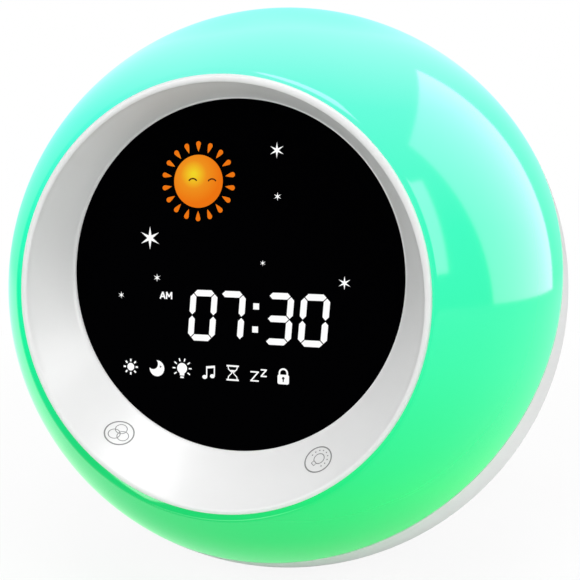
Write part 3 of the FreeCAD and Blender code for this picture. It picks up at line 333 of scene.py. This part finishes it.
def lit(name, colour, strength):
    """Light through a diffuser: even, with a trace of the diffuser's cloudiness."""
    material, tree = new_tree(name)
    place = add(tree, "ShaderNodeTexCoord").outputs["Object"]
    cloud = add(tree, "ShaderNodeTexNoise", {"Vector": place, "Scale": 300.0, "Detail": 1.0})
    base = linear(colour)
    softer = [channel * 0.96 for channel in base[:3]] + [1]
    blend = add(tree, "ShaderNodeMix", {"Factor": cloud.outputs["Fac"], 6: base, 7: softer}, data_type="RGBA")
    shader = add(tree, "ShaderNodeBsdfPrincipled", {
        "Base Color": linear("#101010"), "Roughness": 0.3, "Specular IOR Level": 0.0,
        "Emission Color": blend.outputs[2], "Emission Strength": strength})
    add(tree, "ShaderNodeOutputMaterial", {0: shader.outputs[0]})
    return material


white_light = lit("white_light", "#FFFFFF", 1.0)


def lit_piece(name, shape, material):
    piece = finish_mesh(name, shape, "clock")
    piece.data.materials.append(material)
    return piece


# Digits: seven pointed bars each, leaning four degrees, with thin dark lines between the bars.
# The time is half past seven, and only its bars are lit.
DIGIT = {"wide": 2.7, "rise": 5.31, "half": 0.75, "gap": 0.156, "level": -9.4}
LEAN = math.tan(math.radians(4))
BARS = {
    "top": ((-1, 1), (1, 1)), "middle": ((-1, 0), (1, 0)), "bottom": ((-1, -1), (1, -1)),
    "upper_left": ((-1, 0), (-1, 1)), "upper_right": ((1, 0), (1, 1)),
    "lower_left": ((-1, -1), (-1, 0)), "lower_right": ((1, -1), (1, 0)),
}
shape = bmesh.new()
for middle, unlit in ((-7.15, ("middle",)), (-0.05, ("middle", "bottom", "upper_left", "lower_left")),
                      (11.75, ("upper_left", "lower_left")), (20.3, ("middle",))):
    for name, (start, end) in BARS.items():
        if name in unlit:
            continue
        along = (1, 0) if start[1] == end[1] else (0, 1)
        outline = []
        for tip, way in ((start, 1), (end, -1)):
            x = tip[0] * DIGIT["wide"] + along[0] * DIGIT["gap"] * way
            y = tip[1] * DIGIT["rise"] + along[1] * DIGIT["gap"] * way
            ahead_x, ahead_y = (part * DIGIT["half"] * way for part in along)
            outline += [(x + ahead_x + ahead_y, y + ahead_y - ahead_x), (x, y),
                        (x + ahead_x - ahead_y, y + ahead_y + ahead_x)]
        patch(shape, [(middle + x + LEAN * y, DIGIT["level"] + y) for x, y in outline])
for x, y in ((6.3, -6.7), (6.1, -12.1)):
    patch(shape, [(x + dx * 0.72, y + dy * 0.72) for dx, dy in ((-1, -1), (1, -1), (1, 1), (-1, 1))])
lit_piece("lit_time", shape, white_light)

# Half-of-day sign: two small capitals left of the digits, in the same white light.
shape = bmesh.new()
for line in (((-18.25, -5.8), (-17.55, -4.15), (-16.95, -5.8)), ((-17.95, -5.25), (-17.2, -5.25)),
             ((-16.55, -5.85), (-16.55, -4.15), (-15.9, -5.3), (-15.25, -4.15), (-15.25, -5.85))):
    for start, end in zip(line, line[1:]):
        ribbon(shape, [start, end], 0.36, on_window)
lit_piece("lit_half_of_day", shape, white_light)

# Sun: a disc of amber light with eighteen drop-shaped rays. A colour film behind the window fades
# from yellow near its middle to orange, and two short printed arcs stand for closed eyes.
SUN = {"across": -8.5, "up": 22.2, "radius": 6.2}
shape = bmesh.new()
patch(shape, arc(SUN["across"], SUN["up"], SUN["radius"], count=96))
for step in range(18):
    turn = 2 * math.pi * step / 18
    drop = [(0, 6.9), (0.34, 7.75), (0.55, 8.5)] + arc(0, 8.75, 0.6, -12, 192, 14)
    drop += [(-0.55, 8.5), (-0.34, 7.75)]
    patch(shape, [(SUN["across"] + x * math.cos(turn) + y * math.sin(turn),
                   SUN["up"] - x * math.sin(turn) + y * math.cos(turn)) for x, y in drop])
amber_light, tree = new_tree("amber_light")
place = add(tree, "ShaderNodeTexCoord").outputs["Object"]
warm_spot = on_window(SUN["across"] - 1.2, SUN["up"] + 1.6) * MM
apart = add(tree, "ShaderNodeVectorMath", {0: place, 1: warm_spot}, operation="DISTANCE")
fade = add(tree, "ShaderNodeMapRange", {"Value": apart.outputs["Value"], "From Min": 0.5 * MM,
                                        "From Max": 6.8 * MM})
film = add(tree, "ShaderNodeValToRGB", {0: fade.outputs[0]})
film.color_ramp.elements[0].color = linear("#F0D428")
film.color_ramp.elements[1].color = linear("#EC7412")
film.color_ramp.elements.new(0.45).color = linear("#EE901E")
shader = add(tree, "ShaderNodeBsdfPrincipled", {
    "Base Color": linear("#140800"), "Roughness": 0.3, "Specular IOR Level": 0.0,
    "Emission Color": film.outputs[0], "Emission Strength": 1.0})
add(tree, "ShaderNodeOutputMaterial", {0: shader.outputs[0]})
lit_piece("lit_sun", shape, amber_light)
shape = bmesh.new()
for x, y in ((-9.9, 22.1), (-5.0, 22.0)):
    ribbon(shape, [(x + 1.0 * math.cos(a), y + 0.75 * math.sin(a)) for a in
                   [math.radians(15 + 150 * step / 12) for step in range(13)]], 0.36,
           lambda across, up: on_window(across, up, 0.05))
lit_piece("sun_eye_lines", shape, lit("brown_film_line", "#4E2408", 1.0))

# Stars: seven white six-pointed stars of several sizes.
shape = bmesh.new()
for across, up, radius in ((10.9, 29.2, 1.65), (11.2, 18.7, 0.9), (-21, 8.7, 2.45), (7.8, 3.4, 0.65),
                           (-19.1, -0.8, 0.9), (27.3, -0.6, 1.4), (-28.7, -5.3, 0.8)):
    corners = []
    for step in range(12):
        turn, length = math.pi * step / 6, radius * (1.12 if step % 2 == 0 else 0.3)
        corners.append((across + length * math.sin(turn), up + length * math.cos(turn)))
    patch(shape, corners)
lit_piece("lit_stars", shape, white_light)

# Icon row: seven small white signs along the bottom: day, night, lamp, melody, timer, snooze, lock.
# The keyhole and a speck in the night sign stay dark.
shape = bmesh.new()
patch(shape, arc(-26.1, -22.8, 0.95, count=32))
for step in range(8):
    turn = math.pi * step / 4
    ray = [(-26.1 + r * math.cos(turn), -22.8 + r * math.sin(turn)) for r in (1.3, 1.95)]
    ribbon(shape, ray, 0.42, on_window)
patch(shape, arc(-19.05, -22.75, 1.95, -178, 88, 40) + arc(-20.1, -21.7, 1.32, 44, -134, 20))
patch(shape, arc(-12.4, -22.35, 1.3, -60, 240, 30) + [(-12.95, -24.1), (-11.85, -24.1)])
ribbon(shape, [(-12.85, -24.5), (-11.95, -24.5)], 0.4, on_window)
for step in range(8):
    turn = math.radians(-35 + 250 * step / 7)
    ray = [(-12.4 + r * math.cos(turn), -22.35 + r * math.sin(turn)) for r in (1.75, 2.5)]
    ribbon(shape, ray, 0.32, on_window)
for x, y in ((-6.5, -24.05), (-4.55, -23.75)):
    patch(shape, [(x + 0.62 * math.cos(a), y + 0.48 * math.sin(a)) for a in
                  [2 * math.pi * step / 24 for step in range(24)]])
ribbon(shape, [(-6.0, -24.0), (-6.0, -21.6)], 0.3, on_window)
ribbon(shape, [(-4.05, -23.7), (-4.05, -21.3)], 0.3, on_window)
ribbon(shape, [(-6.15, -21.75), (-3.9, -21.45)], 0.55, on_window)
ribbon(shape, [(-0.95, -21.0), (2.15, -21.0)], 0.4, on_window)
ribbon(shape, [(-0.95, -24.3), (2.15, -24.3)], 0.4, on_window)
for side in (-1, 1):
    glass = ((1.15, -21.2), (1.05, -21.75), (0.15, -22.65), (1.05, -23.55), (1.15, -24.1))
    ribbon(shape, [(0.6 + side * x, y) for x, y in glass], 0.26, on_window)
patch(shape, [(-0.05, -21.95), (1.25, -21.95), (0.6, -22.6)])
for x, y, size in ((6.1, -23.1, 1.05), (8.35, -22.2, 0.75)):
    ribbon(shape, [(x - size, y + size), (x + size, y + size)], 0.33, on_window)
    ribbon(shape, [(x + size * 0.85, y + size), (x - size * 0.85, y - size)], 0.33, on_window)
    ribbon(shape, [(x - size, y - size), (x + size, y - size)], 0.33, on_window)
corners = ((14.1, -24.05, 270), (14.1, -22.7, 0), (12.2, -22.7, 90), (12.2, -24.05, 180))
patch(shape, [point for x, y, turn in corners for point in arc(x, y, 0.45, turn, turn + 90, 6)])
ribbon(shape, [(14.1, -22.4)] + arc(13.15, -21.9, 0.95, 0, 180, 20) + [(12.2, -22.4)], 0.4, on_window)
lit_piece("lit_icons", shape, white_light)
shape = bmesh.new()
patch(shape, arc(13.15, -23.1, 0.32, count=20), 0.05)
patch(shape, arc(-18.1, -22.3, 0.34, count=3), 0.05)
ribbon(shape, [(13.15, -23.25), (13.15, -23.95)], 0.26, lambda across, up: on_window(across, up, 0.05))
lit_piece("lock_keyhole", shape, window_black)

# Lamp shell: the front of the ball, blow-thin translucent polycarbonate, polished outside. Colour
# lights on the ring board behind it fill it with light: cyan above, running into green below. Its
# colour ramps also paint light: the pale band near the top is a painted reflection, and the deeper
# cyan at the very top is painted shade along the edge.
SEAM = Matrix.Translation(ball_centre / MM) @ Matrix.Rotation(math.radians(90 - 21.6), 4, "X")
BALL_RADIUS = 75
LAMP = {"inner": 72.8, "opening": 49.5, "seam": 13.8}
shape = bmesh.new()
centre = ball_centre / MM
pairs = []
for step in range(288):
    turn = 2 * math.pi * step / 288
    across, up = LAMP["opening"] * math.cos(turn), RIM["offset"] + LAMP["opening"] * math.sin(turn)
    front = DIAL @ Vector((across, up, math.sqrt(BALL_RADIUS ** 2 - across ** 2 - up ** 2))) - centre
    ring = math.sqrt(BALL_RADIUS ** 2 - LAMP["seam"] ** 2)
    rear = SEAM @ Vector((ring * math.cos(turn), ring * math.sin(turn), LAMP["seam"])) - centre
    pairs.append((front.normalized(), rear.normalized()))


def shell_loop(share, run, radius):
    """A loop between the opening, share 0, and the seam, share 1, and a run in mm past that."""
    loop = []
    for front, rear in pairs:
        whole = front.angle(rear)
        turn = share * whole + run / BALL_RADIUS
        axis = front.cross(rear).normalized()
        loop.append(centre + (Matrix.Rotation(turn, 3, axis) @ front) * radius)
    return loop


loops = [shell_loop(0, 0, 74.55), shell_loop(0, 0.12, 74.86), shell_loop(0, 0.42, BALL_RADIUS)]
loops += [shell_loop(step / 40, 0.0, BALL_RADIUS) for step in range(1, 40)]
loops += [shell_loop(1, -0.3, BALL_RADIUS), shell_loop(1, -0.08, 74.92), shell_loop(1, 0, 74.7)]
loops += [shell_loop(step / 12, 0, LAMP["inner"]) for step in range(12, -1, -1)]
skin(shape, loops, closed=True)
lamp_shell = finish_mesh("night_light_shell", shape, "clock")
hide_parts("lamp_shell")
lit_shell, tree = new_tree("lit_polycarbonate")
place = add(tree, "ShaderNodeTexCoord").outputs["Object"]
split = add(tree, "ShaderNodeSeparateXYZ", {0: place})
cloud = add(tree, "ShaderNodeTexNoise", {"Vector": place, "Scale": 14.0, "Detail": 1.5})
drift = add(tree, "ShaderNodeMapRange", {"Value": cloud.outputs["Fac"], "To Min": -0.012, "To Max": 0.012})
height = add(tree, "ShaderNodeMath", {0: split.outputs["Z"], 1: drift.outputs[0]}, operation="ADD")
climb = add(tree, "ShaderNodeMapRange", {"Value": height.outputs[0], "From Min": 0.0, "From Max": 0.146})
right_glow_and_painted_light = add(tree, "ShaderNodeValToRGB", {0: climb.outputs[0]})
left_glow_and_painted_light = add(tree, "ShaderNodeValToRGB", {0: climb.outputs[0]})
# Both ramps hold a painted reflection, the pale stop at 0.92, and painted shade, the deeper cyan at the top
# end. The right ramp is paler than the left.
for hue, stops in ((right_glow_and_painted_light, ((0.0, "#00C85A"), (0.12, "#08D660"), (0.24, "#14EE7C"), (0.42, "#2CF8A8"),
                                (0.6, "#38FAC0"), (0.78, "#62FAD8"), (0.92, "#94FAEE"), (1.0, "#00EAD4"))),
                   (left_glow_and_painted_light, ((0.0, "#00C06C"), (0.12, "#00CA6C"), (0.24, "#00CE70"), (0.42, "#00F09A"),
                               (0.6, "#00FABC"), (0.78, "#48FADC"), (0.92, "#94FAEE"), (1.0, "#00EAD4")))):
    hue.color_ramp.elements[0].color = linear(stops[0][1])
    hue.color_ramp.elements[1].color = linear(stops[-1][1])
    for at, colour in stops[1:-1]:
        hue.color_ramp.elements.new(at).color = linear(colour)
across = add(tree, "ShaderNodeMapRange", {"Value": split.outputs["X"], "From Min": -0.045, "From Max": 0.045})
glow = add(tree, "ShaderNodeMix", {"Factor": across.outputs[0], 6: left_glow_and_painted_light.outputs[0],
                                   7: right_glow_and_painted_light.outputs[0]}, data_type="RGBA")
body = add(tree, "ShaderNodeMix", {"Factor": 0.92, 6: glow.outputs[2], 7: (0, 0, 0, 1)}, data_type="RGBA")
shader = add(tree, "ShaderNodeBsdfPrincipled", {
    "Base Color": body.outputs[2], "Roughness": 0.09, "IOR": 1.5, "Specular IOR Level": 0.4,
    "Emission Color": glow.outputs[2], "Emission Strength": 0.93})
add(tree, "ShaderNodeOutputMaterial", {0: shader.outputs[0]})
lamp_shell.data.materials.append(lit_shell)

# Rear shell: white ABS like the bezel, flat at the back and under the foot, with the speaker's holes,
# the openings for keys, switch and socket, and four screw tunnels.
REAR = Matrix.Translation(ball_centre / MM) @ Matrix.Rotation(math.radians(180), 4, Vector((0, 1, 1)))
shape = bmesh.new()
REAR_LEVEL = 60
front_turn = math.radians(126)
rear_turn = math.acos(REAR_LEVEL / BALL_RADIUS) + 0.035
profile = []
for step in range(0, 65):
    turn = front_turn + (rear_turn - front_turn) * step / 64
    profile.append((BALL_RADIUS * math.sin(turn), BALL_RADIUS * math.cos(turn)))
last_r, last_level = profile[-1]
profile += [(last_r - 1.1, last_level + 0.62), (last_r - 2.0, last_level + 0.98), (last_r - 3.1, 59.93),
            (last_r - 4.6, REAR_LEVEL), (30, REAR_LEVEL), (10, REAR_LEVEL), (0.5, REAR_LEVEL)]
skin(shape, [circle(REAR, 0, radius, level, 288) for radius, level in profile])
shape.faces.new([vert for vert in sorted(shape.verts, key=lambda v: v.index)[-288:]])
bmesh.ops.remove_doubles(shape, verts=shape.verts, dist=0.0001)
seam_spot = SEAM @ Vector((0, 0, 13.5))
seam_way = (SEAM.to_3x3() @ Vector((0, 0, 1))).normalized()
everything = shape.verts[:] + shape.edges[:] + shape.faces[:]
bmesh.ops.bisect_plane(shape, geom=everything, plane_co=seam_spot, plane_no=seam_way, clear_outer=True)
everything = shape.verts[:] + shape.edges[:] + shape.faces[:]
foot_cut = bmesh.ops.bisect_plane(shape, geom=everything, plane_co=(0, 0, 0.8), plane_no=(0, 0, -1),
                                  clear_outer=True)
foot_edges = [part for part in foot_cut["geom_cut"] if isinstance(part, bmesh.types.BMEdge)]
bmesh.ops.edgeloop_fill(shape, edges=foot_edges)
back_shell = finish_mesh("rear_shell", shape, "clock", 60)


def bored(piece, cutter):
    """Give a shell its wall and cut its openings, then keep the result as plain mesh."""
    wall = piece.modifiers.new("wall", "SOLIDIFY")
    wall.thickness = 2.4 * MM
    wall.offset = -1
    openings = piece.modifiers.new("openings", "BOOLEAN")
    openings.operation = "DIFFERENCE"
    openings.solver = "EXACT"
    openings.object = cutter
    bpy.context.view_layer.update()
    made = bpy.data.meshes.new_from_object(piece.evaluated_get(bpy.context.evaluated_depsgraph_get()))
    piece.modifiers.clear()
    piece.data = made


KEY_SPOTS = [(column * 17, -8 - row * 13) for row in (0, 1) for column in (-1, 0, 1)]
CASE_SPOTS = [(side * 36, level * 20) for side in (-1, 1) for level in (-1, 1)]
tools = bmesh.new()


def punch(outline):
    """A straight punch through the rear wall with this outline."""
    low = [tools.verts.new(REAR @ Vector((x, y, 54))) for x, y in outline]
    high = [tools.verts.new(REAR @ Vector((x, y, 66))) for x, y in outline]
    tools.faces.new(low[::-1])
    tools.faces.new(high)
    for step in range(len(outline)):
        after = (step + 1) % len(outline)
        tools.faces.new((low[step], low[after], high[after], high[step]))


for ring in range(4):
    for step in range(max(1, 6 * ring)):
        turn = 2 * math.pi * step / max(1, 6 * ring)
        punch(arc(4.2 * ring * math.cos(turn), 20 + 4.2 * ring * math.sin(turn), 1.1, count=24))
for across, up in KEY_SPOTS:
    punch(arc(across, up, 4.75, count=64))
for across, up in CASE_SPOTS:
    punch(arc(across, up, 3.15, count=48))
punch(arc(3.09, -34, 1.88, -90, 90, 16) + arc(-3.09, -34, 1.88, 90, 270, 16))
punch([(-16 + x * 3.4, -34 + y * 1.6) for x, y in ((-1, -1), (1, -1), (1, 1), (-1, 1))])
bmesh.ops.recalc_face_normals(tools, faces=tools.faces)
bmesh.ops.scale(tools, vec=(MM, MM, MM), verts=tools.verts)
cutter_mesh = bpy.data.meshes.new("cutter")
tools.to_mesh(cutter_mesh)
tools.free()
cutter = bpy.data.objects.new("cutter", cutter_mesh)
bpy.context.scene.collection.objects.link(cutter)
bored(back_shell, cutter)
bpy.data.objects.remove(cutter)
shape = bmesh.new()
shape.from_mesh(back_shell.data)
for across, up in CASE_SPOTS:
    at = REAR @ Matrix.Translation((across, up, 0))
    tunnel = ((3.15, 57.7), (3.15, 41), (1.7, 41), (1.7, 38), (4.4, 38), (4.4, 57.7))
    skin(shape, [[point * MM for point in circle(at, 0, radius, level, 48)] for radius, level in tunnel],
         closed=True)
for face in shape.faces:
    face.smooth = abs(face.normal.y) < 0.9995
for edge in shape.edges:
    edge.smooth = edge.calc_face_angle(0) < math.radians(32)
shape.to_mesh(back_shell.data)
shape.free()
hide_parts("back_shell")
back_shell.data.materials.append(white_abs)

# Push buttons: six white ABS caps with softly dished tops, each on its own switch.
key_white = moulded("button_abs", "#E4E5E6", 0.3, 0.3, 0.008, coat=0.2)
for name, (across, up) in zip(("wake", "clock", "sound", "timer", "down", "up"), KEY_SPOTS):
    at = REAR @ Matrix.Translation((across, up, 0))
    outline = [(1.6, 54.0), (1.6, 56.5), (5.6, 56.5), (5.6, 57.5), (4.5, 57.5), (4.5, 60.45)]
    outline += [(3.75 + 0.75 * math.cos(math.radians(a)), 60.45 + 0.75 * math.sin(math.radians(a)))
                for a in (22, 45, 68, 90)]
    outline += [(3.2, 61.12), (2.2, 60.98), (1.1, 60.9), (0.3, 60.88)]
    shape = bmesh.new()
    skin(shape, [circle(at, 0, radius, level, 64) for radius, level in outline], capped=True)
    cap = finish_mesh(name + "_cap", shape, name + "_key")
    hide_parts(name + "_button")
    cap.data.materials.append(key_white)

# Slide switch knob: black acetal with three grip ridges, on the lever of the switch.
knob = bmesh.new()


def ingot(shape, frame_at, x, y, low, high, wide, deep, edge=0.25):
    """A block with eased edges between two levels."""
    made = bmesh.ops.create_cube(shape, size=1)
    for vert in made["verts"]:
        vert.co = frame_at @ Vector((x + vert.co.x * wide, y + vert.co.y * deep,
                                     (low + high) / 2 + vert.co.z * (high - low)))
    edges = list({edge_of for vert in made["verts"] for edge_of in vert.link_edges})
    bmesh.ops.bevel(shape, geom=edges, offset=edge, segments=2, affect="EDGES", profile=0.5)


ingot(knob, REAR, -17, -34, 57.6, 60.3, 4.4, 2.8)
for step in (-1, 0, 1):
    ingot(knob, REAR, -17 + 1.3 * step, -34, 60.1, 60.8, 0.7, 2.6, 0.15)
ingot(knob, REAR, -17, -34, 49.75, 57.7, 2.0, 1.6)
knob_piece = finish_mesh("switch_knob", knob, "power_slider")
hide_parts("slide_switch_knob")
black_acetal = moulded("black_acetal", "#141415", 0.42, 0.25, 0.01)
knob_piece.data.materials.append(black_acetal)

# Foot: a moulded rubber disc, glued into its recess, with an eased edge and a matt face.
shape = bmesh.new()
skin(shape, [circle(Matrix.Identity(4), 0, radius, level, 144) for radius, level in
             ((24.0, 2.0), (24.0, 0.5), (23.85, 0.15), (23.5, 0.0), (20, 0.0), (19.6, 0.25), (19.0, 0.25),
              (18.6, 0.0), (0.5, 0.0))], capped=True)
foot = finish_mesh("foot_pad", shape, "clock")
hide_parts("rubber_foot")
foot.data.materials.append(moulded("matt_rubber", "#B4B5B6", 0.75, 0.5, 0.05))

# Inside, seen only when the shells are off: boards, speaker, battery and screws keep their plain
# forms and get the finish of what they are made of.
finishes = {
    "white_inner": moulded("matt_white_abs", "#EDEDEC", 0.55, 0.4, 0.02),
    "milky_diffuser": moulded("milky_polycarbonate", "#FAFAF8", 0.4, 0.3, 0.01),
    "amber_diffuser": moulded("amber_polycarbonate", "#F0A030", 0.4, 0.3, 0.01),
    "chips": moulded("yellow_phosphor", "#F4E27A", 0.35, 0.1, 0.005),
    "black": black_acetal,
    "paper": moulded("black_paper", "#222224", 0.85, 0.4, 0.06),
    "foam": moulded("grey_foam", "#303032", 0.95, 0.6, 0.12),
    "cell": moulded("green_shrink_wrap", "#2F8F62", 0.28, 0.6, 0.01, coat=0.3),
}


def metal(name, colour, roughness, grain):
    """Metal, with fine marks from rolling, turning or plating."""
    material, tree = new_tree(name)
    place = add(tree, "ShaderNodeTexCoord").outputs["Object"]
    marks = add(tree, "ShaderNodeTexNoise", {"Vector": place, "Scale": 1 / (grain * MM), "Detail": 3.0})
    worn = add(tree, "ShaderNodeMapRange", {"Value": marks.outputs["Fac"], "To Min": roughness - 0.06,
                                            "To Max": roughness + 0.08})
    dents = add(tree, "ShaderNodeBump", {"Height": marks.outputs["Fac"], "Strength": 0.2,
                                         "Distance": 0.02 * MM})
    shader = add(tree, "ShaderNodeBsdfPrincipled", {
        "Base Color": linear(colour), "Metallic": 1.0, "Roughness": worn.outputs[0],
        "Normal": dents.outputs[0]})
    add(tree, "ShaderNodeOutputMaterial", {0: shader.outputs[0]})
    return material


finishes["zinc"] = metal("zinc_plated_steel", "#C4C6CA", 0.35, 0.3)
finishes["nickel"] = metal("nickel_plated_steel", "#D8D9DA", 0.22, 0.4)
finishes["copper"] = metal("copper_foil", "#D08A5E", 0.3, 0.5)
finishes["ferrite"] = metal("sintered_ferrite", "#4A4A4E", 0.6, 0.3)
board_green, tree = new_tree("solder_mask")
place = add(tree, "ShaderNodeTexCoord").outputs["Object"]
tracks = add(tree, "ShaderNodeTexBrick", {
    "Vector": place, "Color1": linear("#14603A"), "Color2": linear("#115433"), "Mortar": linear("#2E8A58"),
    "Scale": 260.0, "Mortar Size": 0.03})
shader = add(tree, "ShaderNodeBsdfPrincipled", {
    "Base Color": tracks.outputs["Color"], "Roughness": 0.3, "IOR": 1.5, "Coat Weight": 0.3})
add(tree, "ShaderNodeOutputMaterial", {0: shader.outputs[0]})
finishes["board"] = board_green
made_of = {
    "white_inner": ("light_block", "display_housing", "chassis"),
    "milky_diffuser": ("digit_diffusers", "icon_diffusers", "star_diffusers"),
    "amber_diffuser": ("sun_diffusers",),
    "board": ("display_board", "lamp_board", "main_board"),
    "chips": ("display_lights", "lamp_lights"),
    "copper": ("touch_foils",),
    "zinc": ("display_screws", "lamp_shell_screws", "case_screws", "board_screws", "speaker_screws",
             "holder_screws", "speaker_basket"),
    "nickel": ("power_socket", "battery_contacts"),
    "black": ("key_switches", "slide_switch_body", "socket_tongue", "board_chips", "battery_holder",
              "wake_plunger", "clock_plunger", "sound_plunger", "timer_plunger", "down_plunger",
              "up_plunger"),
    "paper": ("speaker_cone",),
    "foam": ("speaker_gasket",),
    "ferrite": ("speaker_magnet",),
    "cell": ("battery_cell",),
}
for finish, nodes in made_of.items():
    for name in nodes:
        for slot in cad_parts[name].material_slots:
            slot.material = finishes[finish]
